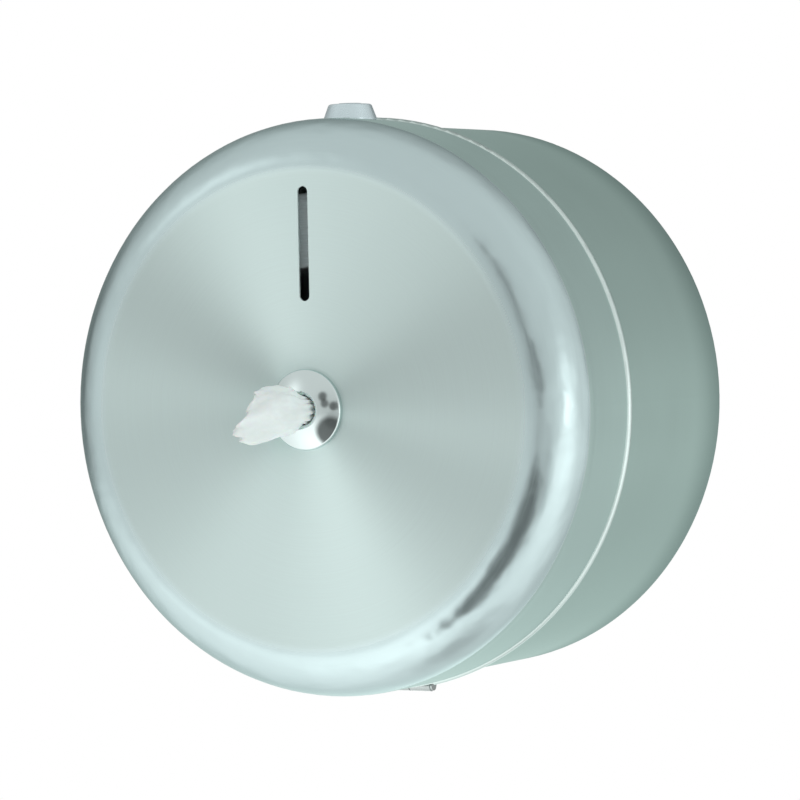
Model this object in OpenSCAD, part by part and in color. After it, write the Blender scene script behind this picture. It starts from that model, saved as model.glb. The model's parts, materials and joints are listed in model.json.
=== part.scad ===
// Centre-pull jumbo toilet roll dispenser for a wall, in millimetres.
// The origin is the middle of the back, on the wall. +Z is up, +Y goes into the wall,
// and the round cover faces -Y. The long round parts are turned about the Y axis.

/* [Shell] */
// Outside radius of the round cover
cover_r = 140; // [138:0.5:146]
// Depth from the wall to the cover's front face
body_depth = 182; // [180:1:190]
// Depth of the cover, from the parting line to its front face
cover_depth = 67; // [66:1:72]
// Radius of the cover's rounded shoulder
shoulder_r = 25; // [18:1:28]
// How much smaller the drum's radius is than the cover's
drum_step = 2.4; // [2.2:0.1:2.6]
// Radius of the drum's rounded back edge
back_round = 7.5; // [5:0.5:10]
// Thickness of the steel sheet
sheet = 1; // [0.8:0.1:1]

/* [Level slot] */
// Width of the level slot
slot_w = 5.4; // [5:0.1:7]
// Height of the slot's lower end over the middle of the cover
slot_low = 52; // [45:1:60]
// Height of the slot's upper end over the middle of the cover
slot_high = 107; // [95:1:107]

/* [Nozzle] */
// Radius of the chrome nozzle's rim
nozzle_r = 19.5; // [18.5:0.5:22]
// Radius of the nozzle's throat
throat_r = 7; // [6.5:0.5:8]

/* [Roll] */
// Outside radius of the paper roll
roll_r = 104; // [98:1:105]
// Radius of the hollow that has been drawn out of the roll
hollow_r = 68; // [62:1:80]
// Width of the roll
roll_w = 134; // [120:1:134]

/* [Lock] */
// Distance from the cover's front face back to the lock's axis
lock_back = 49; // [48:0.5:50]
// Radius of the lock housing at its base
lock_base_r = 13; // [12.5:0.5:13]
// Height of the lock housing over the cover
lock_rise = 7.4; // [7:0.2:9]

/* [Hinge] */
// Length of the hinge
hinge_w = 58; // [50:1:60]
// Radius of the hinge's knuckles
knuckle_r = 3; // [2.8:0.1:3]
// Radius of the hinge pin
hinge_pin_r = 1.5; // [1.4:0.1:1.6]

/* [Wall] */
// Distance between the wall screws, across and up
wall_spacing = 160; // [150:1:160]
// Radius of the wall screw holes
wall_hole_r = 3; // [2.5:0.25:3.5]

/* [Hidden] */

fine = 180;         // steps round the large turned parts
smooth = 48;        // steps round the small ones
past = 1;           // how far a cut runs past a face
touch_gap = 0.05;   // gap between curved faces that lie on each other
run_gap = 0.05;     // running clearance of a pin or plug

// Places along the depth, as distances from the wall
parting = body_depth - cover_depth;
rim_gap = 0.3;
cover_rim = parting + rim_gap;
face_in = body_depth - sheet;
roll_front = face_in - 6;
roll_back = roll_front - roll_w;
lock_at = body_depth - lock_back;

// Radii of the shells
cover_in = cover_r - sheet;
drum_r = cover_r - drum_step;
drum_in = drum_r - sheet;
bead_r = 2.2;            // rolled rim of the cover
flange_reach = 2.6;      // the drum's front flange, which the cover shuts against
flange_t = 1;

// Neck ring inside the drum's mouth
plate_t = 1.2;
neck_out = drum_in - touch_gap;
neck_in = neck_out - plate_t;
neck_back = parting - 20;
neck_front = parting + 12;
lock_notch = 20;         // half width of the notch under the lock
lock_notch_back = parting + 2;

// Hinge
hinge_z = -(cover_r - 2);
hinge_bore_r = hinge_pin_r + run_gap;
knuckles = 5;
knuckle_gap = 0.4;
knuckle_w = (hinge_w - (knuckles - 1) * knuckle_gap) / knuckles;
notch_x = hinge_w / 2 + 3;
notch_reach = knuckle_r + 1.2;
leaf_out_cover = cover_in - touch_gap;
leaf_out_drum = drum_in - touch_gap;
leaf_len = 22;
pin_head_r = 2.6;
pin_head_t = 1.2;

// Rivets
rivet_r = 1.6;
rivet_head_r = 3;
rivet_head_t = 1.2;
rivet_angles = [-8.5, 8.5];

// Back plate, posts and backstop
back_plate_t = 2;
back_plate_half = 92;
back_plate_corner = 20;
back_plate_hole_r = 50;
back_plate_front = sheet + back_plate_t;
post_place = 58;
post_r = 5;
post_bore_r = 2.5;
backstop_t = 2.5;
backstop_in = 60;
screw_head_r = 4.8;
backstop_screw_len = 14;

// Cradle
cradle_gap = 0.3;
cradle_in = roll_r + cradle_gap;
cradle_out = cradle_in + plate_t;
cradle_half_angle = 70;
cradle_front = roll_front - 3;
leg_angle = 28;          // from straight down to the middle of a leg
leg_span = 16;
leg_len = 14;
leg_web_t = 1.5;
rear_leg_at = 60;
front_leg_at = parting - 5;
stud_r = 2;
stud_len = 9;
nut_r = 4;
nut_t = 3.2;

// Lock
barrel_r = 8;
barrel_low = cover_r - 21;
lock_top = cover_r + lock_rise;
lock_round = 1.6;
lock_top_flat_r = 9.3;
plug_r = 4.5;
plug_head_r = 5.4;
plug_head_t = 4;
plug_top = lock_top + 0.4;
key_slot = [7, 1.6, 3];
washer_r = 13;
washer_top = sqrt(pow(cover_in, 2) - pow(washer_r, 2)) - touch_gap;
lock_nut_r = 12.5;
lock_nut_t = 4.5;

// Hook and strike
hook_t = 3;
hook_top = barrel_low - 0.6;
hook_low = hook_top - hook_t;
hub_r = 8;
hook_in = 13.5;
hook_out = 17.5;
hook_arm_w = 6;
hook_arm_angle = -29;    // from +X, with the lock open
hook_tip_angle = 68;
hook_screw_r = 2;
hook_screw_head_r = 3.8;
hook_screw_head_t = 2.6;
hook_screw_len = 10;
strike_at = lock_at - 11;
strike_pin_r = 1.5;
strike_low = hook_low - 3;
strike_arm_low = hook_top + 5;
strike_arm_t = 1.5;
strike_foot_half = 13;
strike_web_half = 9;
strike_arm_half = 4;
strike_boss_r = 2.4;
strike_web_at = parting - 2;
strike_foot_back = parting - 18;
strike_rivet_angles = [-3.6, 3.6];
strike_rivet_at = parting - 10;

// Nozzle
nozzle_barrel_r = 17.3;
nozzle_back = body_depth - 16;
nozzle_edge = 1.4;       // rounding of the nozzle's outer edge
nozzle_edge_at = [nozzle_r - nozzle_edge, body_depth + nozzle_edge];
dome_r = 46;             // how flat the nozzle's dome is
dome_low = nozzle_edge_at.y - sqrt(pow(dome_r - nozzle_edge, 2) - pow(nozzle_edge_at.x, 2));
lip = 1.6;               // rounding from the dome into the throat
lip_at = [throat_r + lip, dome_low + sqrt(pow(dome_r - lip, 2) - pow(throat_r + lip, 2))];
dome_from = lip_at.x * dome_r / (dome_r - lip);
dome_to = nozzle_edge_at.x * dome_r / (dome_r - nozzle_edge);
gasket_r = 20.5;
gasket_t = 1;
nozzle_nut_r = 21;
nozzle_nut_t = 5.5;
nut_notches = 6;
insert_bore_r = throat_r - 2.4;
insert_flange_r = 12;
insert_flange_t = 2.5;
insert_len = 6;

// Tissue tail: rings along a bent path, pleated round their edge
tail_back = body_depth - 30;
tail_straight = 34;      // inside the dispenser and through the throat
tail_reach = 20;         // forward from the throat
tail_side = -26;         // to the left
tail_drop = -10.5;
tail_neck = insert_bore_r - 0.4;
tail_curve = 2;          // how late the tail turns aside
tail_half_w = 13.5;
tail_half_t = 5;
tail_rings = 14;         // in the open, past one ring at the inner end
tail_sides = 30;
tail_pleats = 5;
pleat_depth = 0.2;

// ---- helpers ----

// Turns a profile about the Y axis. Profiles are drawn as (radius, distance from the wall).
module turned() rotate([90, 0, 0]) rotate_extrude($fn = fine) children();

// As turned(), but only round to half_span degrees each side of a direction,
// which is counted from straight down.
module turned_part(middle, half_span)
    rotate([90, 0, 0])
        rotate_extrude(angle = 2 * half_span, start = 270 + middle - half_span, $fn = fine)
            children();

// Profile of a cup: open at 0, closed at depth, with one rounded corner
module cup_profile(r, depth, corner) {
    square([r, depth - corner]);
    square([r - corner, depth]);
    translate([r - corner, depth - corner]) intersection() {
        circle(corner, $fn = fine);
        square(corner);
    }
}

// Profile of the sheet metal wall of such a cup
module wall_profile(r, depth, corner) difference() {
    cup_profile(r, depth, corner);
    translate([0, -past]) cup_profile(r - sheet, depth - sheet + past, corner - sheet);
}

// Profile of a plain ring between two radii and two distances from the wall
module ring_profile(r_in, r_out, low, high)
    translate([r_in, low]) square([r_out - r_in, high - low]);

// A cylinder along Y between two distances from the wall
module along_y(r, low, high, x = 0, z = 0)
    translate([x, -low, z]) rotate([90, 0, 0]) cylinder(r = r, h = high - low, $fn = smooth);

// A cylinder that points away from the Y axis, angle counted from straight down
module radial(angle, at, r, from, to)
    translate([0, -at, 0]) rotate([0, -angle, 0]) translate([0, 0, -to])
        cylinder(r = r, h = to - from, $fn = smooth);

// Points of a box between two distances from the wall
module block(x_half, low, high, z_low, z_high)
    translate([-x_half, -high, z_low]) cube([2 * x_half, high - low, z_high - z_low]);

// Children at the four corners of a square on the back
module at_corners(place) for (x = [-place, place], z = [-place, place])
    translate([x, 0, z]) children();

// Room for the hinge, cut from every wall that meets it
module hinge_notch()
    block(notch_x, parting - notch_reach, parting + notch_reach, -cover_r - 10, -cover_r + 20);

function knuckle_x(i) = -hinge_w / 2 + i * (knuckle_w + knuckle_gap);

// Knuckles first, first + 2 and so on, without their bore
module knuckle_row(first) for (i = [first:2:knuckles - 1])
    translate([knuckle_x(i), -parting, hinge_z]) rotate([0, 90, 0])
        cylinder(r = knuckle_r, h = knuckle_w, $fn = smooth);

// The lanes of those knuckles, which the leaf may fill
module knuckle_lanes(first, low, high, z_low, z_high) for (i = [first:2:knuckles - 1])
    translate([knuckle_x(i), -high, z_low]) cube([knuckle_w, high - low, z_high - z_low]);

module hinge_bore()
    translate([-hinge_w, -parting, hinge_z]) rotate([0, 90, 0])
        cylinder(r = hinge_bore_r, h = 2 * hinge_w, $fn = smooth);

// Curved part of a hinge leaf, between two distances from the wall
module leaf_arc(r_out, low, high) intersection() {
    turned() ring_profile(r_out - plate_t, r_out, low, high);
    block(hinge_w / 2, low, high, -cover_r, 0);
}

// Four rivets through a leaf: rows are distances from the wall
module leaf_rivets(leaf_out, skin_out, rows) for (a = rivet_angles, at = rows) {
    head_out = leaf_out - plate_t - touch_gap;
    radial(a, at, rivet_r - run_gap, head_out, skin_out - touch_gap);
    radial(a, at, rivet_head_r, head_out - rivet_head_t, head_out);
}

module leaf_rivet_holes(rows) for (a = rivet_angles, at = rows)
    radial(a, at, rivet_r, cover_r - 20, cover_r + past);

drum_rows = [parting - 18, parting - 9];
cover_rows = [parting + 10, parting + 18];

// ---- wall side ----

module rear_drum() color("lightgray") difference() {
    turned() {
        translate([0, parting]) mirror([0, 1]) wall_profile(drum_r, parting, back_round);
        ring_profile(drum_in, drum_r + flange_reach, parting - flange_t, parting);
    }
    at_corners(wall_spacing / 2) along_y(wall_hole_r, -past, sheet + past);
    hinge_notch();
    leaf_rivet_holes(drum_rows);
}

module neck_ring() color("silver") difference() {
    turned() ring_profile(neck_in, neck_out, neck_back, neck_front);
    block(lock_notch, lock_notch_back, neck_front + past, 0, cover_r);
    block(notch_x, neck_back - past, neck_front + past, -cover_r, 0);
    for (a = strike_rivet_angles)
        radial(a + 180, strike_rivet_at, rivet_r, neck_in - past, neck_out + past);
}

module back_plate() color("darkgray") difference() {
    rotate([90, 0, 0]) translate([0, 0, sheet]) linear_extrude(back_plate_t) {
        side = back_plate_half - back_plate_corner;
        square(2 * [back_plate_half, side], center = true);
        square(2 * [side, back_plate_half], center = true);
        for (x = [-side, side], y = [-side, side])
            translate([x, y]) circle(back_plate_corner, $fn = smooth);
    }
    along_y(back_plate_hole_r, 0, back_plate_front + past);
    at_corners(wall_spacing / 2) along_y(wall_hole_r, 0, back_plate_front + past);
}

module roll_cradle() color("gray")
    turned_part(0, cradle_half_angle) ring_profile(cradle_in, cradle_out, roll_back, cradle_front);

// One pair of legs: a web, a saddle under the cradle and a foot on the wall that it stands on
module leg_pair(at, foot_out) for (side = [-1, 1]) turned_part(side * leg_angle, leg_span / 2) {
    saddle_in = cradle_out + touch_gap;
    ring_profile(saddle_in, foot_out, at - leg_web_t, at);
    ring_profile(saddle_in, saddle_in + plate_t, at - leg_len, at);
    ring_profile(foot_out - plate_t, foot_out, at - leg_len, at);
}

front_foot = neck_in - touch_gap;
leg_places = [[rear_leg_at, neck_out], [front_leg_at, front_foot]];

module cradle_legs() color("gray") difference() {
    for (p = leg_places) leg_pair(p[0], p[1]);
    at_studs() along_stud(stud_r + run_gap, past, plate_t + past);
}

// Children at each stud, with the foot's outside at 0 and +Z towards the roll
module at_studs() for (p = leg_places, side = [-1, 1])
    translate([0, leg_len / 2 + leg_web_t / 2 - p[0], 0]) rotate([0, -side * leg_angle, 0])
        translate([0, 0, -p[1]]) children();

module along_stud(r, below, above)
    translate([0, 0, -below]) cylinder(r = r, h = below + above, $fn = smooth);

module cradle_studs() color("silver") at_studs() along_stud(stud_r, 0, stud_len);

module cradle_nuts() color("dimgray") at_studs() difference() {
    translate([0, 0, plate_t + 2 * touch_gap]) cylinder(r = nut_r, h = nut_t, $fn = 6);
    along_stud(stud_r + run_gap, past, stud_len + past);
}

module backstop_ring() color("gray") difference() {
    turned() ring_profile(backstop_in, roll_r, roll_back - backstop_t, roll_back);
    at_corners(post_place) backstop_screw(run_gap);
}

module backstop_posts() color("darkgray") at_corners(post_place) difference() {
    along_y(post_r, back_plate_front, roll_back - backstop_t);
    along_y(post_bore_r, back_plate_front + past, roll_back);
}

// Countersunk screw in the backstop, or with extra the hole that it sits in
module backstop_screw(extra) {
    shank_r = post_bore_r - run_gap + extra;
    along_y(shank_r, roll_back - backstop_screw_len, roll_back - past);
    translate([0, -extra - roll_back, 0]) rotate([-90, 0, 0])
        cylinder(r1 = screw_head_r + 2 * extra, r2 = shank_r + extra, h = backstop_t, $fn = smooth);
}

module backstop_screws() color("silver") at_corners(post_place) backstop_screw(0);

module strike_bracket() color("silver") {
    foot_out = neck_in - touch_gap;
    difference() {
        union() {
            intersection() {
                turned() ring_profile(foot_out - plate_t, foot_out, strike_foot_back, strike_web_at);
                block(strike_foot_half, strike_foot_back, strike_web_at, 0, cover_r);
            }
            block(strike_web_half, strike_web_at - plate_t, strike_web_at,
                  strike_arm_low, foot_out - plate_t / 2);
            block(strike_arm_half, strike_web_at - plate_t, strike_at,
                  strike_arm_low, strike_arm_low + strike_arm_t);
            translate([0, -strike_at, strike_arm_low])
                cylinder(r = strike_boss_r, h = strike_arm_t, $fn = smooth);
        }
        translate([0, -strike_at, strike_arm_low - past])
            cylinder(r = strike_pin_r + run_gap, h = strike_arm_t + 2 * past, $fn = smooth);
        for (a = strike_rivet_angles)
            radial(a + 180, strike_rivet_at, rivet_r + run_gap, foot_out - 2 * plate_t, cover_r);
    }
}

module strike_pin() color("silver") translate([0, -strike_at, 0]) {
    translate([0, 0, strike_low])
        cylinder(r = strike_pin_r, h = strike_arm_low + strike_arm_t - strike_low, $fn = smooth);
    translate([0, 0, strike_arm_low + strike_arm_t])
        cylinder(r = strike_boss_r - 0.3, h = plate_t, $fn = smooth);
}

module strike_rivets() color("silver") for (a = strike_rivet_angles) {
    head_out = neck_in - touch_gap - plate_t - touch_gap;
    radial(a + 180, strike_rivet_at, rivet_r - run_gap, head_out, neck_out - touch_gap);
    radial(a + 180, strike_rivet_at, rivet_head_r, head_out - rivet_head_t, head_out);
}

module hinge_leaf_drum() color("silver") difference() {
    union() {
        leaf_arc(leaf_out_drum, parting - leaf_len, parting - notch_reach);
        intersection() {
            leaf_arc(leaf_out_drum, parting - notch_reach - past, parting);
            knuckle_lanes(0, parting - notch_reach - past, parting, -cover_r, 0);
        }
        for (i = [0:2:knuckles - 1]) {
            reach_x = max(abs(knuckle_x(i)), abs(knuckle_x(i) + knuckle_w));
            web_top = -sqrt(pow(leaf_out_drum - plate_t, 2) - pow(reach_x, 2));
            translate([knuckle_x(i), -parting, hinge_z + knuckle_r - plate_t])
                cube([knuckle_w, notch_reach - touch_gap, web_top - hinge_z - knuckle_r + plate_t]);
        }
        knuckle_row(0);
    }
    hinge_bore();
    leaf_rivet_holes(drum_rows);
}

module hinge_rivets_drum() color("silver") leaf_rivets(leaf_out_drum, drum_r, drum_rows);

module hinge_pin() color("silver") translate([0, -parting, hinge_z]) rotate([0, 90, 0]) {
    cylinder(r = hinge_pin_r, h = hinge_w, center = true, $fn = smooth);
    for (side = [-1, 1]) translate([0, 0, side * (hinge_w + pin_head_t) / 2])
        cylinder(r = pin_head_r, h = pin_head_t, center = true, $fn = smooth);
}

module paper_roll() color("whitesmoke")
    turned() ring_profile(hollow_r, roll_r, roll_back, roll_front);

// ---- cover ----

module front_cover() color("gainsboro") difference() {
    turned() {
        translate([0, cover_rim]) wall_profile(cover_r, body_depth - cover_rim, shoulder_r);
        translate([cover_in, cover_rim + bead_r]) intersection() {
            circle(bead_r, $fn = smooth);
            translate([0, -bead_r]) square(2 * bead_r);
        }
    }
    level_slot();
    along_y(nozzle_barrel_r + 2 * run_gap, face_in - past, body_depth + past);
    translate([0, -lock_at, cover_r - 10]) cylinder(r = barrel_r + 2 * run_gap, h = 20, $fn = smooth);
    hinge_notch();
    leaf_rivet_holes(cover_rows);
}

module level_slot() {
    end_r = slot_w / 2;
    for (z = [slot_low + end_r, slot_high - end_r])
        along_y(end_r, face_in - past, body_depth + past, z = z);
    block(end_r, face_in - past, body_depth + past, slot_low + end_r, slot_high - end_r);
}

module hinge_leaf_cover() color("silver") difference() {
    union() {
        leaf_arc(leaf_out_cover, parting + notch_reach, parting + leaf_len);
        intersection() {
            leaf_arc(leaf_out_cover, parting, parting + notch_reach + past);
            knuckle_lanes(1, parting, parting + notch_reach + past, -cover_r, 0);
        }
        knuckle_row(1);
    }
    hinge_bore();
    leaf_rivet_holes(cover_rows);
}

module hinge_rivets_cover() color("silver") leaf_rivets(leaf_out_cover, cover_r, cover_rows);

module nozzle_dome() color("lightslategray") turned() {
    ring_profile(throat_r, nozzle_barrel_r, nozzle_back, body_depth + past);
    ring_profile(throat_r, nozzle_r, body_depth, nozzle_edge_at.y);
    ring_profile(throat_r, dome_from, body_depth, lip_at.y);
    translate(lip_at) circle(lip, $fn = smooth);
    translate(nozzle_edge_at) circle(nozzle_edge, $fn = smooth);
    intersection() {
        translate([0, dome_low]) circle(dome_r, $fn = fine);
        ring_profile(dome_from, dome_to, body_depth, body_depth + dome_r);
    }
}

module nozzle_gasket() color("dimgray")
    turned() ring_profile(nozzle_barrel_r + touch_gap, gasket_r, face_in - gasket_t, face_in);

module nozzle_nut() color("white") difference() {
    nut_front = face_in - gasket_t;
    turned() ring_profile(nozzle_barrel_r + touch_gap, nozzle_nut_r, nut_front - nozzle_nut_t, nut_front);
    for (i = [0:nut_notches - 1]) rotate([0, i * 360 / nut_notches, 0])
        translate([0, 0, nozzle_nut_r]) block(2.5, 0, nut_front - 2, -2, 4);
}

module nozzle_insert() color("white") turned() difference() {
    union() {
        ring_profile(0, insert_flange_r, nozzle_back - insert_flange_t, nozzle_back);
        ring_profile(0, throat_r - touch_gap, nozzle_back - past, nozzle_back + insert_len);
    }
    ring_profile(0, insert_bore_r, nozzle_back - 10, body_depth);
    polygon([[0, nozzle_back - insert_flange_t - past],
             [insert_bore_r + 4.5, nozzle_back - insert_flange_t - past],
             [insert_bore_r + 3.5, nozzle_back - insert_flange_t],
             [insert_bore_r, nozzle_back + past], [0, nozzle_back + past]]);
}

// Middle of the tail's ring at b, which runs from 0 where it leaves the throat to 1 at its end
function tail_middle(b) = [
    tail_side * pow(b, tail_curve),
    -tail_back - tail_straight - tail_reach * b,
    tail_drop * pow(b, 3)
];
// Level direction across the tail there
function tail_across(b) =
    let (v = [tail_reach, tail_side * tail_curve * pow(b, tail_curve - 1), 0]) v / norm(v);
// How far the tail has opened out there, 1 at its widest
function tail_swell(b) = sin(180 * pow(b, 1.35));
function tail_ring(b) = [for (i = [0:tail_sides - 1])
    let (a = 360 * i / tail_sides,
         half_w = tail_neck + (tail_half_w - tail_neck) * tail_swell(b),
         half_t = tail_neck + (tail_half_t - tail_neck) * tail_swell(b),
         fold = 1 + pleat_depth * tail_swell(b) * cos(tail_pleats * a))
    tail_middle(b) + fold * (half_t * cos(a) * tail_across(b) + [0, 0, half_w * sin(a)])];

module tissue_tail() color("ivory") {
    n = tail_sides;
    inner_end = [0, tail_straight, 0];
    first = [for (p = tail_ring(0)) p + inner_end];
    rings = concat(first, [for (k = [0:tail_rings]) each tail_ring(k / tail_rings)]);
    sides = [for (k = [0:tail_rings], i = [0:n - 1]) let (j = (i + 1) % n, a = k * n, b = a + n)
        each [[a + i, b + i, b + j], [a + i, b + j, a + j]]];
    end = (tail_rings + 1) * n;
    middles = [tail_middle(0) + inner_end, tail_middle(1)];
    back_cap = [for (i = [0:n - 1]) [end + n, i, (i + 1) % n]];
    front_cap = [for (i = [0:n - 1]) [end + n + 1, end + (i + 1) % n, end + i]];
    polyhedron(concat(rings, middles), concat(sides, back_cap, front_cap));
}

// ---- lock ----

module at_lock() translate([0, -lock_at, 0]) children();

module lock_housing() color("lightsteelblue") difference() {
    union() {
        difference() {
            at_lock() rotate_extrude($fn = smooth) lock_profile();
            turned() ring_profile(0, cover_r + touch_gap, 0, body_depth);
        }
        at_lock() translate([0, 0, barrel_low])
            cylinder(r = barrel_r, h = cover_r + 2 - barrel_low, $fn = smooth);
    }
    at_lock() {
        translate([0, 0, barrel_low - past])
            cylinder(r = plug_r + run_gap, h = lock_top - barrel_low, $fn = smooth);
        translate([0, 0, plug_top - plug_head_t])
            cylinder(r = plug_head_r + run_gap, h = lock_top, $fn = smooth);
    }
}

module lock_profile() {
    round_z = lock_top - lock_round;
    low = cover_r - 2;
    translate([lock_top_flat_r, round_z]) circle(lock_round, $fn = smooth);
    polygon([[0, low], [lock_base_r, low], [lock_base_r, low + 2.4],
             [lock_top_flat_r + 0.94 * lock_round, round_z + 0.34 * lock_round],
             [lock_top_flat_r, lock_top], [0, lock_top]]);
}

module lock_washer() color("silver") at_lock() translate([0, 0, washer_top - plate_t]) difference() {
    cylinder(r = washer_r, h = plate_t, $fn = smooth);
    translate([0, 0, -past]) cylinder(r = barrel_r + run_gap, h = plate_t + 2 * past, $fn = smooth);
}

module lock_nut() color("gray") at_lock() translate([0, 0, washer_top - plate_t - lock_nut_t])
    difference() {
        cylinder(r = lock_nut_r, h = lock_nut_t, $fn = 6);
        translate([0, 0, -past])
            cylinder(r = barrel_r + run_gap, h = lock_nut_t + 2 * past, $fn = smooth);
    }

module lock_plug() color("slategray") at_lock() difference() {
    union() {
        translate([0, 0, hook_top]) cylinder(r = plug_r, h = plug_top - hook_top - 2, $fn = smooth);
        translate([0, 0, plug_top - plug_head_t + run_gap])
            cylinder(r = plug_head_r, h = plug_head_t - run_gap, $fn = smooth);
    }
    translate([0, 0, plug_top]) cube([key_slot[0], key_slot[1], 2 * key_slot[2]], center = true);
    translate([0, 0, hook_top - past])
        cylinder(r = hook_screw_r, h = hook_screw_len - hook_t + past, $fn = smooth);
}

module latch_hook() color("silver") at_lock() translate([0, 0, hook_low])
    linear_extrude(hook_t) difference() {
        union() {
            circle(hub_r, $fn = smooth);
            rotate(hook_arm_angle) translate([0, -hook_arm_w / 2])
                square([(hook_in + hook_out) / 2, hook_arm_w]);
            intersection() {
                difference() {
                    circle(hook_out, $fn = fine);
                    circle(hook_in, $fn = fine);
                }
                hook_wedge();
            }
        }
        circle(hook_screw_r + run_gap, $fn = smooth);
    }

// Wedge that bounds the hook's curved jaw, from behind its arm to its tip
module hook_wedge() {
    reach = 2 * hook_out;
    start = hook_arm_angle - 11;
    middle = (start + hook_tip_angle) / 2;
    polygon([[0, 0], for (a = [start, middle, hook_tip_angle]) reach * [cos(a), sin(a)]]);
}

module hook_screw() color("dimgray") at_lock() {
    translate([0, 0, hook_low])
        cylinder(r = hook_screw_r - run_gap, h = hook_screw_len - 1, $fn = smooth);
    translate([0, 0, hook_low - hook_screw_head_t])
        cylinder(r = hook_screw_head_r, h = hook_screw_head_t, $fn = smooth);
}

rear_drum();
neck_ring();
back_plate();
roll_cradle();
cradle_legs();
cradle_studs();
cradle_nuts();
backstop_ring();
backstop_posts();
backstop_screws();
strike_bracket();
strike_pin();
strike_rivets();
hinge_leaf_drum();
hinge_rivets_drum();
hinge_pin();
paper_roll();
front_cover();
hinge_leaf_cover();
hinge_rivets_cover();
nozzle_dome();
nozzle_gasket();
nozzle_nut();
nozzle_insert();
tissue_tail();
lock_housing();
lock_washer();
lock_nut();
lock_plug();
latch_hook();
hook_screw();
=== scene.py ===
"""Centre-pull jumbo toilet roll dispenser: the looks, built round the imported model.

Everything is in metres, in the row frame: the middle of the drum's back is the origin,
+Z is up, +Y goes into the wall and the round cover faces -Y.
"""

import json
import math
import random

import bmesh
import bpy
from mathutils import Matrix, Vector, noise


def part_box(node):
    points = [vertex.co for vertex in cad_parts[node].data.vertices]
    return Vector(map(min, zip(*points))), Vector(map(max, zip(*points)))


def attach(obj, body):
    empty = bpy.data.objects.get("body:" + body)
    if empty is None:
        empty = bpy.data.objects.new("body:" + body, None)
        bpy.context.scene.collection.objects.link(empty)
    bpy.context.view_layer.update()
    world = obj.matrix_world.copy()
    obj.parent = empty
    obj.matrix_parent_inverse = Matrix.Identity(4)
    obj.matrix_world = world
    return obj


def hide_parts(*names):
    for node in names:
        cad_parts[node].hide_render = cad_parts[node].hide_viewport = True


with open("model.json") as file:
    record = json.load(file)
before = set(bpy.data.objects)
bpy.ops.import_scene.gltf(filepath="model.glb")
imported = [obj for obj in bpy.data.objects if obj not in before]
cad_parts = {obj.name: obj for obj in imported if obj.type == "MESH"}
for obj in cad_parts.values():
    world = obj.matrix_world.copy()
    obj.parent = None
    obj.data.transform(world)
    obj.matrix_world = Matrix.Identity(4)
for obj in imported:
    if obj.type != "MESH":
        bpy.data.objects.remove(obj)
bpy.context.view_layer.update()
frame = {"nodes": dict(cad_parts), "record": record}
nodes = frame["nodes"]

MM = 0.001
FULL_TURN = 2 * math.pi
DEPTH_AXIS = Vector((0, 1, 0))
UP = Vector((0, 0, 1))


def add_object(name, data):
    made = bpy.data.objects.new(name, data)
    bpy.context.scene.collection.objects.link(made)
    return made


# ---- camera ----

AIM = Vector((9.2, -105.0, 1.8)) * MM      # what the camera looks at
CAMERA_DISTANCE = 2.01
CAMERA_TURN = 28.32       # degrees to the right of straight in front
CAMERA_RISE = 1.74        # degrees above level
CAMERA_ROLL = -1.21       # degrees
CAMERA_LENS = 183.0       # millimetres, like the sensor's width
SENSOR = 36.0


def direction(turn, rise):
    """Unit vector from the object: turn degrees from -Y towards +X, rise degrees up."""
    turn, rise = math.radians(turn), math.radians(rise)
    level = math.cos(rise)
    return Vector((math.sin(turn) * level, -math.cos(turn) * level, math.sin(rise)))


def facing(place, back, roll=0.0):
    """Matrix of a camera or light at place, whose local +Z points along back."""
    right = UP.cross(back).normalized()
    up = back.cross(right)
    turned = Matrix.Rotation(math.radians(roll), 3, back)
    axes = Matrix((turned @ right, turned @ up, back)).transposed()
    return Matrix.Translation(place) @ axes.to_4x4()


def make_camera():
    lens = bpy.data.cameras.new("photo_camera")
    lens.lens = CAMERA_LENS
    lens.sensor_width = SENSOR
    camera = add_object("photo_camera", lens)
    back = direction(CAMERA_TURN, CAMERA_RISE)
    camera.matrix_world = facing(AIM + CAMERA_DISTANCE * back, back, CAMERA_ROLL)
    bpy.context.scene.camera = camera


make_camera()


# ---- node trees ----

GRAIN_LOW, GRAIN_HIGH = 0.3, 0.7     # most of a grain's values lie between these


class Nodes:
    """The nodes of a material or world: each call adds one and returns its output."""

    def __init__(self, owner):
        owner.use_nodes = True
        self.tree = owner.node_tree

    def join(self, value, socket):
        """Sets the socket to value, or links value to it."""
        if isinstance(value, bpy.types.NodeSocket):
            self.tree.links.new(value, socket)
        else:
            socket.default_value = value

    def node(self, kind, inputs=(), output=0, **settings):
        made = self.tree.nodes.new(kind)
        for name, value in settings.items():
            setattr(made, name, value)
        for name, value in dict(inputs).items():
            self.join(value, made.inputs[name])
        return made.outputs[output] if made.outputs else made

    def maths(self, operation, *values):
        return self.node("ShaderNodeMath", enumerate(values), operation=operation)

    def add(self, first, second):
        return self.maths("ADD", first, second)

    def times(self, first, second):
        return self.maths("MULTIPLY", first, second)

    def remap(self, value, low, high, to_low, to_high):
        return self.node("ShaderNodeMapRange",
                         {0: value, 1: low, 2: high, 3: to_low, 4: to_high},
                         interpolation_type="SMOOTHSTEP")

    def glow(self, beside, spread):
        """1 where beside, the cosine of an angle, is 1, falling off over spread degrees."""
        narrow = 1 / math.radians(spread) ** 2
        return self.maths("EXPONENT", self.maths("MULTIPLY_ADD", beside, narrow, -narrow))


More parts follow.
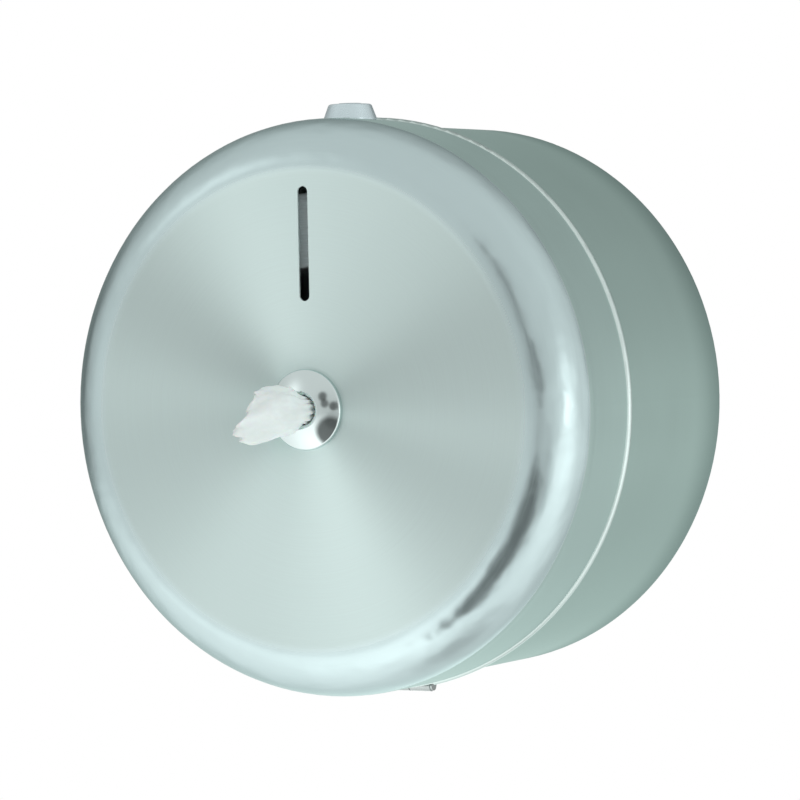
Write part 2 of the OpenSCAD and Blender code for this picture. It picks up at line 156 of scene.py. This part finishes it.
class Finish(Nodes):
    """A material for a piece, built on one shader."""

    def __init__(self, name, colour, roughness, sockets):
        self.material = bpy.data.materials.new(name)
        super().__init__(self.material)
        self.shader = self.tree.nodes["Principled BSDF"]
        self.colour = colour
        self.put("Base Color", (*colour, 1.0))
        self.put("Roughness", roughness)
        for socket, value in sockets.items():
            self.put(socket, value)
        self.place = self.node("ShaderNodeTexCoord", output="Object")

    def put(self, socket, value):
        self.join(value, self.shader.inputs[socket])

    def parts(self, vector):
        split = self.node("ShaderNodeSeparateXYZ", {0: vector}).node
        return split.outputs[0], split.outputs[1], split.outputs[2]

    def whole(self, x, y, z):
        return self.node("ShaderNodeCombineXYZ", {0: x, 1: y, 2: z})

    def from_axis(self, x, z):
        """Distance from the depth axis."""
        return self.maths("SQRT", self.add(self.times(x, x), self.times(z, z)))

    def grain(self, vector, scale=1.0, detail=2.0):
        """Noise about 0.5."""
        return self.node("ShaderNodeTexNoise",
                         {"Vector": vector, "Scale": scale, "Detail": detail})

    def vary(self, grain, low, high):
        """From low to high, with the grain."""
        return self.remap(grain, GRAIN_LOW, GRAIN_HIGH, low, high)

    def blend_colour(self, share, first, second):
        if not isinstance(first, bpy.types.NodeSocket):
            first = (*first, 1.0)
        return self.node("ShaderNodeMix", {0: share, 6: first, 7: (*second, 1.0)}, output=2,
                         data_type="RGBA")

    def mottle(self, grain, spread):
        """The base colour, up to spread darker and lighter with the grain."""
        dark = tuple(c * (1 - spread) for c in self.colour)
        light = tuple(min(1.0, c * (1 + spread)) for c in self.colour)
        self.put("Base Color", self.blend_colour(self.vary(grain, 0.0, 1.0), dark, light))

    def bump(self, height, depth):
        self.put("Normal", self.node("ShaderNodeBump", {"Height": height, "Distance": depth}))


# ---- brushed steel ----

GRAZING_TINT = (0.67, 0.76, 0.74, 1.0)     # what brushed steel reflects at a flat angle
STRETCH = 0.89            # how far the brushing draws a reflection out
STRETCH_TURN = 0.25       # of a full turn: it is drawn out across the brushing
# Marks of the brush and of the spinning tool: waves round the axis, width of one mark.
FINE_MARKS = (2.4, 0.35 * MM)
WIDE_MARKS = (1.3, 1.7 * MM)
TOOL_MARKS = (6.0, 1 / 55.0)
FINE_SHARE = 0.85         # how much of the brushing is fine
BRUSH_DEPTH = 0.004 * MM
# Limits of the flat face and of the shoulder, each over a short way.
FACE_DEPTHS = (-0.1805, -0.1818)
SHOULDER_REACHES = (0.112, 0.130)
SHOULDER_DEPTHS = (-0.152, -0.164)
# Zones of the steel that are polished differently; the darker colour of the drum's edge zone is
# painted shade. A zone fades in over each pair of limits:
# reaches are distances from the depth axis, depths are along it.
SKIRT = {"reaches": (0.128, 0.130), "depths": (-0.1610, -0.1595),
         "colour": (0.46, 0.595, 0.565), "roughness": 0.42}
SHOULDER = {"reaches": (0.1125, 0.1185), "depths": (-0.1595, -0.1610),
            "colour": (0.55, 0.675, 0.68), "roughness": 0.18}
RIM = {"reaches": (0.130, 0.131), "depths": (-0.1203, -0.1198),
       "colour": (0.70, 0.82, 0.79), "roughness": 0.28}
# Painted shade: the drum's rounded back corner gets a darker colour; its slightly lower roughness is
# real.
DRUM_EDGE_PAINTED_SHADE = {"reaches": (0.118, 0.122), "depths": (-0.036, -0.002),
             "colour": (0.27, 0.37, 0.345), "roughness": 0.42}
# Painted highlights and painted shade on the cover's face: light and dark wedges that stand in for
# the reflections which circular brushing draws out, as clock angle and spread in degrees, and how
# much lighter.
FACE_PAINTED_WEDGES = {
    "dark_upper_right": (67, 11, -0.09),
    "dark_right": (88, 8, -0.03),
    "dark_upper_left": (305, 11, -0.08),
    "light_right": (97, 7, 0.06),
    "light_left": (277, 9, 0.07),
    "light_lower_left": (217, 13, 0.06),
    "light_below": (160, 18, 0.04),
    "light_lower_half": (185, 60, 0.04),
}


def turned_steel(name, colour, roughness, zones, painted_wedges=None, waviness=0.0):
    """Steel brushed in circles about the depth axis.

    waviness is how deep the marks of the spinning tool are on the shoulder. The light and dark
    wedges given for the face are painted highlights and painted shade.
    """
    steel = Finish(name, colour, roughness,
                   {"Metallic": 1.0, "Anisotropic": STRETCH, "Anisotropic Rotation": STRETCH_TURN,
                    "Specular Tint": GRAZING_TINT})
    x, y, z = steel.parts(steel.place)
    reach = steel.from_axis(x, z)
    round_x, round_z = [steel.maths("DIVIDE", side, reach) for side in (x, z)]
    along = steel.add(reach, y)       # rises from the nozzle over the shoulder to the rim

    def circles(waves, width, detail=2.0):
        return steel.grain(steel.whole(steel.times(round_x, waves), steel.times(along, 1 / width),
                                       steel.times(round_z, waves)), detail=detail)

    brushed = steel.add(steel.times(circles(*FINE_MARKS), FINE_SHARE),
                        steel.times(circles(*WIDE_MARKS), 1 - FINE_SHARE))
    cloud = steel.grain(steel.place, scale=11.0, detail=3.0)
    for zone in zones:
        inside = steel.times(steel.remap(reach, *zone["reaches"], 0.0, 1.0),
                             steel.remap(y, *zone["depths"], 0.0, 1.0))
        colour = steel.blend_colour(inside, colour, zone["colour"])
        roughness = steel.add(steel.times(roughness, steel.maths("SUBTRACT", 1.0, inside)),
                              steel.times(inside, zone["roughness"]))
    brushing_and_painted_wedges = steel.add(steel.vary(brushed, 0.975, 1.005), steel.vary(cloud, -0.012, 0.012))
    # Painted highlights and painted shade: the face is made lighter and darker in wedges like
    # brushed steel's reflections.
    if painted_wedges:
        on_face = steel.remap(y, *FACE_DEPTHS, 0.0, 1.0)
        for clock, spread, lighter in painted_wedges.values():
            clock = math.radians(clock)
            beside = steel.add(steel.times(round_x, math.sin(clock)),
                               steel.times(round_z, math.cos(clock)))
            painted_wedge_light = steel.times(steel.glow(beside, spread), lighter)
            brushing_and_painted_wedges = steel.add(brushing_and_painted_wedges, steel.times(on_face, painted_wedge_light))
    steel.put("Base Color", steel.node("ShaderNodeVectorMath", {0: colour, "Scale": brushing_and_painted_wedges},
                                       operation="SCALE"))
    uneven = steel.add(steel.vary(brushed, -0.02, 0.02), steel.vary(cloud, -0.02, 0.02))
    steel.put("Roughness", steel.add(roughness, uneven))
    height = steel.times(brushed, BRUSH_DEPTH)
    if waviness:
        on_shoulder = steel.times(steel.remap(reach, *SHOULDER_REACHES, 0.0, waviness),
                                  steel.remap(y, *SHOULDER_DEPTHS, 0.0, 1.0))
        height = steel.maths("MULTIPLY_ADD", circles(*TOOL_MARKS, detail=1.5), on_shoulder, height)
    steel.bump(height, 1.0)
    round_way = steel.whole(round_z, 0.0, steel.times(round_x, -1.0))
    steel.put("Tangent", steel.node("ShaderNodeVectorTransform", {0: round_way},
                                    vector_type="VECTOR", convert_from="OBJECT",
                                    convert_to="WORLD"))
    return steel.material


# ---- other materials ----

def sheet_steel(name, colour, roughness):
    """Sheet as it comes from the mill, with a faint grain along its length."""
    steel = Finish(name, colour, roughness, {"Metallic": 1.0})
    stretched = steel.node("ShaderNodeVectorMath", {0: steel.place, 1: (14.0, 1.0, 14.0)},
                           operation="MULTIPLY")
    lines = steel.grain(stretched, scale=160.0, detail=3.0)
    cloud = steel.grain(steel.place, scale=35.0, detail=3.0)
    steel.mottle(cloud, 0.06)
    steel.put("Roughness", steel.add(steel.vary(cloud, roughness - 0.05, roughness + 0.05),
                                     steel.vary(lines, -0.04, 0.04)))
    steel.bump(lines, 0.008 * MM)
    return steel.material


def small_metal(name, colour, roughness, mottle):
    """Small machined or plated pieces, with fine pits."""
    metal = Finish(name, colour, roughness, {"Metallic": 1.0})
    spots = metal.grain(metal.place, scale=420.0, detail=3.0)
    metal.mottle(metal.grain(metal.place, scale=90.0), mottle)
    metal.put("Roughness", metal.vary(spots, roughness - 0.06, roughness + 0.08))
    metal.bump(spots, 0.015 * MM)
    return metal.material


def chrome(name, colour, roughness=0.06):
    """Polished plating with faint smears."""
    metal = Finish(name, colour, roughness, {"Metallic": 1.0})
    smear = metal.grain(metal.place, scale=55.0, detail=3.0)
    metal.mottle(smear, 0.02)
    metal.put("Roughness", metal.remap(smear, 0.35, 0.65, roughness - 0.02, roughness + 0.05))
    metal.bump(metal.grain(metal.place, scale=260.0, detail=1.0), 0.006 * MM)
    return metal.material


def moulded(name, colour, roughness, pits=700.0, depth=0.02 * MM, flakes=0.0):
    """Satin moulded plastic or rubber. flakes is how much metal powder is mixed into it."""
    plastic = Finish(name, colour, roughness, {"IOR": 1.49, "Metallic": flakes})
    texture = plastic.grain(plastic.place, scale=pits)
    plastic.mottle(plastic.grain(plastic.place, scale=60.0), 0.035)
    plastic.put("Roughness", plastic.vary(texture, roughness - 0.05, roughness + 0.05))
    plastic.bump(texture, depth)
    return plastic.material


def wound_paper(name, colour):
    """Rolled tissue: fine rings of edges on its ends, and soft fibres."""
    paper = Finish(name, colour, 0.93, {"Sheen Weight": 0.25, "Sheen Roughness": 0.6})
    x, _, z = paper.parts(paper.place)
    wobble = paper.grain(paper.place, scale=30.0)
    turn = paper.add(paper.from_axis(x, z), paper.times(wobble, 0.9 * MM))
    rings = paper.grain(paper.whole(paper.times(turn, 1 / (0.5 * MM)), 0.0, 0.0))
    fibres = paper.grain(paper.place, scale=900.0, detail=3.0)
    paper.mottle(rings, 0.07)
    paper.bump(paper.add(paper.times(rings, 0.7), paper.times(fibres, 0.3)), 0.25 * MM)
    return paper.material


def soft_tissue(name, colour):
    """Thin creased tissue with a little light through it."""
    paper = Finish(name, colour, 0.9, {"Sheen Weight": 0.2, "Sheen Roughness": 0.5,
                                       "Subsurface Weight": 0.15, "Subsurface Scale": 1.5 * MM})
    fibres = paper.grain(paper.place, scale=1100.0, detail=3.0)
    creases = paper.grain(paper.place, scale=180.0, detail=3.0)
    paper.mottle(creases, 0.03)
    paper.bump(paper.add(paper.times(fibres, 0.35), paper.times(creases, 0.65)), 0.3 * MM)
    return paper.material


FINISHES = {
    "cover_steel": turned_steel("cover_steel", (0.665, 0.795, 0.775), 0.47, (SKIRT, SHOULDER, RIM),
                                FACE_PAINTED_WEDGES, waviness=0.8 * MM),
    "drum_steel": turned_steel("drum_steel", (0.405, 0.53, 0.497), 0.45, (DRUM_EDGE_PAINTED_SHADE,)),
    "plain_steel": sheet_steel("plain_steel", (0.50, 0.53, 0.53), 0.36),
    "hinge_steel": small_metal("hinge_steel", (0.46, 0.51, 0.50), 0.24, mottle=0.04),
    "zinc_fasteners": small_metal("zinc_fasteners", (0.56, 0.59, 0.60), 0.34, mottle=0.09),
    "nozzle_chrome": chrome("nozzle_chrome", (0.66, 0.755, 0.745)),
    "lock_plastic": moulded("lock_plastic", (0.67, 0.78, 0.81), 0.30, pits=250.0,
                            depth=0.004 * MM, flakes=0.6),
    "lock_plug_plastic": moulded("lock_plug_plastic", (0.44, 0.51, 0.53), 0.38),
    "white_plastic": moulded("white_plastic", (0.80, 0.81, 0.79), 0.4),
    "black_rubber": moulded("black_rubber", (0.035, 0.037, 0.04), 0.75, pits=350.0,
                            depth=0.05 * MM),
    "roll_paper": wound_paper("roll_paper", (0.80, 0.88, 0.89)),
    "tissue": soft_tissue("tissue", (0.92, 0.94, 0.92)),
}


def finish_cad_nodes():
    """Every CAD node takes the finish of its material slot."""
    for part in frame["record"]["subparts"]:
        slots = nodes[part["node"]].data.materials
        slots.clear()
        slots.append(FINISHES[part["material_slot"]])


finish_cad_nodes()


# ---- new pieces ----

def object_of(name, shape):
    """An object at the origin with the bmesh's shape. It uses the bmesh up."""
    mesh = bpy.data.meshes.new(name)
    shape.to_mesh(mesh)
    shape.free()
    return add_object(name, mesh)


def add_piece(name, shape, slot, body, stands_for):
    """A smooth piece with its finish, on its body."""
    bmesh.ops.recalc_face_normals(shape, faces=shape.faces)
    for face in shape.faces:
        face.smooth = True
    piece = object_of(name, shape)
    piece.data.materials.append(FINISHES[slot])
    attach(piece, body)
    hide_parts(*stands_for)
    return piece


# ---- paper roll ----

ROLL_TURNS = 26           # bands of windings that show on each end
BAND_SIDES = (0.05, 0.95)      # where in its width a band starts and ends
BAND_OFFSET = 0.22 * MM   # how far one band stands before or behind the next
ROLL_EDGE = 1.6 * MM      # how soft the roll's corners are
CORNER_POINTS = (15, 40, 65)   # degrees round a corner
ROLL_STEPS = 144
ROLL_SEED = 7


def roll_profile(inner, outer, front, back):
    """Outline of the wound paper: (radius, y) points round its section."""
    chance = random.Random(ROLL_SEED)

    def end(y, sign, bands):
        return [(r, y + sign * chance.uniform(0, BAND_OFFSET)) for r in bands]

    step = (outer - inner - 2 * ROLL_EDGE) / ROLL_TURNS
    bands = [inner + ROLL_EDGE + step * (i + side) for i in range(ROLL_TURNS) for side in BAND_SIDES]
    corners = [math.radians(a) for a in CORNER_POINTS]
    soft = [(ROLL_EDGE * math.cos(a), ROLL_EDGE * math.sin(a)) for a in corners]
    points = end(front, 1, bands)
    points += [(outer - ROLL_EDGE + s, front + ROLL_EDGE - c) for c, s in soft]
    points += [(outer - ROLL_EDGE + c, back - ROLL_EDGE + s) for c, s in soft]
    points += end(back, -1, reversed(bands))
    points += [(inner + ROLL_EDGE - s, back - ROLL_EDGE + c) for c, s in soft]
    points += [(inner + ROLL_EDGE - c, front + ROLL_EDGE - s) for c, s in soft]
    return points


def make_roll():
    low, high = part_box("paper_roll")
    outer = high.x
    inner = min(math.hypot(v.co.x, v.co.z) for v in nodes["paper_roll"].data.vertices)
    shape = bmesh.new()
    verts = [shape.verts.new((r, y, 0.0)) for r, y in roll_profile(inner, outer, low.y, high.y)]
    edges = [shape.edges.new(pair) for pair in zip(verts, verts[1:] + verts[:1])]
    bmesh.ops.spin(shape, geom=verts + edges, cent=(0, 0, 0), axis=DEPTH_AXIS, angle=FULL_TURN,
                   steps=ROLL_STEPS, use_merge=True)
    add_piece("wound_roll", shape, "roll_paper", "housing", ["paper_roll"])


# ---- tissue in the nozzle ----

# The path of its middle, the same as the plain solid's.
TAIL_BACK = -152.0 * MM        # y of its inner end
TAIL_STRAIGHT = 34.0 * MM      # how far it runs straight out through the nozzle
TAIL_REACH = 20.0 * MM         # how far the rest goes out, to the side and down
TAIL_SIDE = -26.0 * MM
TAIL_DROP = -10.5 * MM
TAIL_CURVE = 2.0               # powers of t with which it goes to the side and down
TAIL_SAG = 3
# How the tissue opens along its length, as (t, value) pairs.
OPENING = ((-0.1, 0.0), (0.35, 1.0))
HALF_WIDTH = ((-0.7, 4.0 * MM), (-0.2, 6.5 * MM), (0.1, 8.0 * MM), (0.35, 12.0 * MM),
              (0.68, 14.6 * MM), (0.85, 14.0 * MM), (1.0, 9.5 * MM))
HALF_THICKNESS = ((-0.7, 4.0 * MM), (-0.2, 6.3 * MM), (0.3, 6.0 * MM), (0.6, 7.0 * MM),
                  (1.0, 5.0 * MM))
LIFT = ((0.2, 0.0), (0.75, 2.6 * MM))      # how far the open tissue stands over the path
# How far it reaches before it is torn off, from its lowest point (0) up to its highest (1).
TORN_END = ((0.0, 0.90), (0.1, 0.94), (0.4, 1.0), (0.52, 0.99), (0.66, 0.85), (0.78, 0.87),
            (1.0, 0.81))
RAGGED = ((2.4, 0.06, 4.0), (9.0, 0.03, 9.0))      # waves round the end, depth, seed
STRIP_TURNS = 2.8              # how many times the gathered strip goes round itself
STRIP_START = 0.55             # of a turn, where its outer edge lies
INNER_LAYER = 0.6              # size of its inner edge beside its outer one
THROAT_PLEATS, THROAT_FOLD = 13, 0.26      # how many, and how deep
OPEN_PLEATS, OPEN_FOLD = 5, 0.22
PLEAT_SWAY = 2.4               # how unevenly the pleats are set
CRUMPLE, FINE_CRUMPLE = 0.13, 0.05
GRID_ACROSS, GRID_ALONG = 300, 56
PLY = 0.28 * MM


def tail_middle(t):
    """Middle of the gathered tissue at t: 0 in the throat, 1 at the end, under 0 further back."""
    out = max(t, 0.0)
    return Vector((TAIL_SIDE * out ** TAIL_CURVE,
                   TAIL_BACK - TAIL_STRAIGHT - TAIL_REACH * t,
                   TAIL_DROP * out ** TAIL_SAG))


def tail_across(t):
    """Level unit vector across the path at t."""
    out = max(t, 0.0)
    return Vector((TAIL_REACH, TAIL_SIDE * TAIL_CURVE * out ** (TAIL_CURVE - 1), 0)).normalized()


def between(t, stops):
    """Smooth value at t of a curve through stops, which are (t, value) pairs."""
    for (t0, low), (t1, high) in zip(stops, stops[1:]):
        if t <= t1:
            step = min(1.0, max(0.0, (t - t0) / (t1 - t0)))
            return low + (high - low) * step * step * (3 - 2 * step)
    return stops[-1][1]


def tail_end(turn):
    """Where the torn end lies: the upper side is torn shorter than the lower one."""
    upper = 0.5 + 0.5 * math.sin(turn)
    ragged = sum(depth * noise.noise((waves * math.cos(turn), waves * math.sin(turn), seed))
                 for waves, depth, seed in RAGGED)
    return between(upper, TORN_END) + ragged


def tail_point(share, t, turn):
    """A point of the gathered tissue: share runs across the strip, t along it."""
    opened = between(t, OPENING)
    drift = Vector((math.cos(turn), math.sin(turn), 1.7 * t))
    sway = PLEAT_SWAY * noise.noise(1.3 * drift)
    tight = 0.5 + 0.5 * math.cos(THROAT_PLEATS * turn + sway)
    loose = 0.5 + 0.5 * math.cos(OPEN_PLEATS * turn + 1.6 * sway + 1.9 * t)
    fold = 1.0 - THROAT_FOLD * (1 - opened) * tight - OPEN_FOLD * opened * loose
    crumple = 1.0 + opened * (CRUMPLE * noise.noise(2.6 * drift + Vector((0, 8, 3)))
                              + FINE_CRUMPLE * noise.noise(8.0 * drift))
    layer = 1.0 - (1.0 - INNER_LAYER) * share
    side = between(t, HALF_THICKNESS) * math.cos(turn) * tail_across(t)
    rise = between(t, HALF_WIDTH) * math.sin(turn) * UP
    middle = tail_middle(t) + between(t, LIFT) * UP
    return middle + layer * fold * crumple * (side + rise)


def make_tissue():
    """The strip, wound round itself in pleats that open out past the throat, with a torn end."""
    shape = bmesh.new()
    bmesh.ops.create_grid(shape, x_segments=GRID_ACROSS, y_segments=GRID_ALONG, size=0.5)
    start = -TAIL_STRAIGHT / TAIL_REACH
    for vert in shape.verts:
        share, along = vert.co.x + 0.5, vert.co.y + 0.5
        turn = FULL_TURN * (STRIP_TURNS * share + STRIP_START)
        vert.co = tail_point(share, start + along * (tail_end(turn) - start), turn)
    tissue = add_piece("gathered_tissue", shape, "tissue", "cover", ["tissue_tail"])
    thick = tissue.modifiers.new("ply", "SOLIDIFY")
    thick.thickness = PLY
    thick.offset = 0.0


make_roll()
make_tissue()


# ---- studio ----

STUDIO_MIDDLE = Vector((0.0, -0.09, 0.0))
# Radiance 1 looks as bright as white paper.
RIGHT_BOX = {"turn": 70, "rise": -3, "distance": 2.0, "width": 0.5, "height": 0.35,
             "radiance": 0.7}
# The studio tent: how bright it is above and below the level of the object, and behind it.
TENT_ABOVE = 0.78
TENT_BELOW = 1.15
TENT_LEVEL = (-0.08, -0.30)    # height, in a unit vector, over which it changes
TENT_BEHIND = 0.5              # share of it that is left straight behind the object
TENT_DEPTH = (-0.1, 0.9)
TENT_TINT = (0.965, 1.0, 1.0)
TENT_DARKEST = 0.05
# Brighter and darker panels of the tent: turn, rise, spread in degrees, and what each adds.
PANELS = {
    "right_window": (77.4, -12.0, 16.5, 0.40),
    "far_right_window": (129.0, -3.0, 11.0, 0.35),
    "front_gap": (8.0, -3.0, 15.0, -0.15),
    "right_shine": (82.0, 4.0, 8.0, 0.55),
    "dark_left": (-101.0, 2.0, 18.0, -0.45),
    "front_left_window": (-42.0, 17.0, 6.5, 0.49),
    "low_front_table": (-17.4, -38.6, 15.8, 0.42),
    "dark_table_edge": (90.0, -82.0, 11.0, -0.55),
    "back_right_wall": (128.0, 24.0, 24.6, 0.25),
    "back_left_wall": (-163.0, -25.0, 17.0, 1.05),
    "dark_back": (176.0, 4.0, 13.0, -0.25),
}
# Dark things in front of the tent, with an edge that shows: turn, rise, radius and softness of
# the edge in degrees, and what share of the light each takes away.
FLAGS = {
    "dark_table": (8.0, -28.0, 18.0, 4.0, 0.85),
    "dark_table_right": (37.0, -22.0, 14.0, 5.0, 0.45),
    "table_edge": (12.0, -14.0, 9.0, 4.0, 0.25),
    "lamp_stand": (-1.0, 14.0, 5.0, 2.0, 0.75),
    "lamp_stand_foot": (2.0, 6.0, 4.5, 2.0, 0.7),
    "camera_stand": (13.0, 3.0, 5.0, 2.0, 0.75),
    "doorway": (178.0, 8.0, 20.0, 8.0, 0.6),
}
FLOOR_DROP = 0.45         # how far the floor lies under the middle of the object
FLOOR_HALF = 6.0
FLOOR_COLOUR = (0.86, 0.87, 0.87, 1.0)
FLOOR_FADE = (0.5, 1.5)   # distances from its middle over which it turns white
FLOOR_PALEST = 0.5        # share of white in its middle


def softbox(name, turn, rise, distance, width, height, radiance):
    """A rectangular lamp aimed at the object."""
    lamp = bpy.data.lights.new(name, "AREA")
    lamp.shape = "RECTANGLE"
    lamp.size = width
    lamp.size_y = height
    lamp.energy = radiance * math.pi * width * height
    box = add_object(name, lamp)
    back = direction(turn, rise)
    box.matrix_world = facing(STUDIO_MIDDLE + distance * back, back)
    box.visible_camera = False


def make_world():
    world = bpy.data.worlds.new("studio_tent")
    bpy.context.scene.world = world
    tent = Nodes(world)
    tent.tree.nodes.clear()
    way = tent.node("ShaderNodeTexCoord", output="Generated")

    def beside(turn, rise):
        """Cosine of the angle between the way looked in and a direction."""
        return tent.node("ShaderNodeVectorMath", {0: way, 1: direction(turn, rise)},
                         output="Value", operation="DOT_PRODUCT")

    axes = tent.node("ShaderNodeSeparateXYZ", {0: way}).node.outputs
    light = tent.times(tent.remap(axes["Z"], *TENT_LEVEL, TENT_ABOVE, TENT_BELOW),
                       tent.remap(axes["Y"], *TENT_DEPTH, 1.0, TENT_BEHIND))
    for turn, rise, spread, bright in PANELS.values():
        light = tent.maths("MULTIPLY_ADD", tent.glow(beside(turn, rise), spread), bright, light)
    for turn, rise, radius, soft, dark in FLAGS.values():
        outside, inside = [math.cos(math.radians(a)) for a in (radius + soft, radius - soft)]
        light = tent.times(light, tent.remap(beside(turn, rise), outside, inside, 1.0, 1 - dark))
    light = tent.maths("MAXIMUM", light, TENT_DARKEST)
    rays = tent.node("ShaderNodeLightPath").node.outputs
    mirrored = tent.maths("MAXIMUM", rays["Is Glossy Ray"], rays["Is Transmission Ray"])
    shown = tent.maths("MAXIMUM", mirrored, rays["Is Camera Ray"])
    backdrop = tent.maths("MAXIMUM", light, rays["Is Camera Ray"])
    lit = tent.node("ShaderNodeBackground", {0: (*TENT_TINT, 1.0), 1: light})
    white = tent.node("ShaderNodeBackground", {0: (1.0, 1.0, 1.0, 1.0), 1: backdrop})
    tent.node("ShaderNodeOutputWorld", {0: tent.node("ShaderNodeMixShader",
                                                     {0: shown, 1: lit, 2: white})})


def make_floor():
    """A pale floor that fades to white away from the object. Only the camera sees it."""
    shape = bmesh.new()
    bmesh.ops.create_grid(shape, x_segments=1, y_segments=1, size=FLOOR_HALF)
    floor = object_of("floor", shape)
    floor.location.z = -FLOOR_DROP
    floor.visible_shadow = floor.visible_glossy = floor.visible_diffuse = False
    material = bpy.data.materials.new("pale_floor")
    pale = Nodes(material)
    pale.tree.nodes.clear()
    matt = pale.node("ShaderNodeBsdfDiffuse", {"Color": FLOOR_COLOUR})
    white = pale.node("ShaderNodeEmission")
    place = pale.node("ShaderNodeTexCoord", output="Object")
    away = pale.node("ShaderNodeVectorMath", {0: place}, output="Value", operation="LENGTH")
    fade = pale.remap(away, *FLOOR_FADE, FLOOR_PALEST, 1.0)
    seen = pale.times(fade, pale.node("ShaderNodeLightPath", output="Is Camera Ray"))
    pale.node("ShaderNodeOutputMaterial", {0: pale.node("ShaderNodeMixShader",
                                                        {0: seen, 1: matt, 2: white})})
    floor.data.materials.append(material)


softbox("right_box", **RIGHT_BOX)
make_world()
make_floor()
bpy.context.scene.view_settings.view_transform = "Standard"
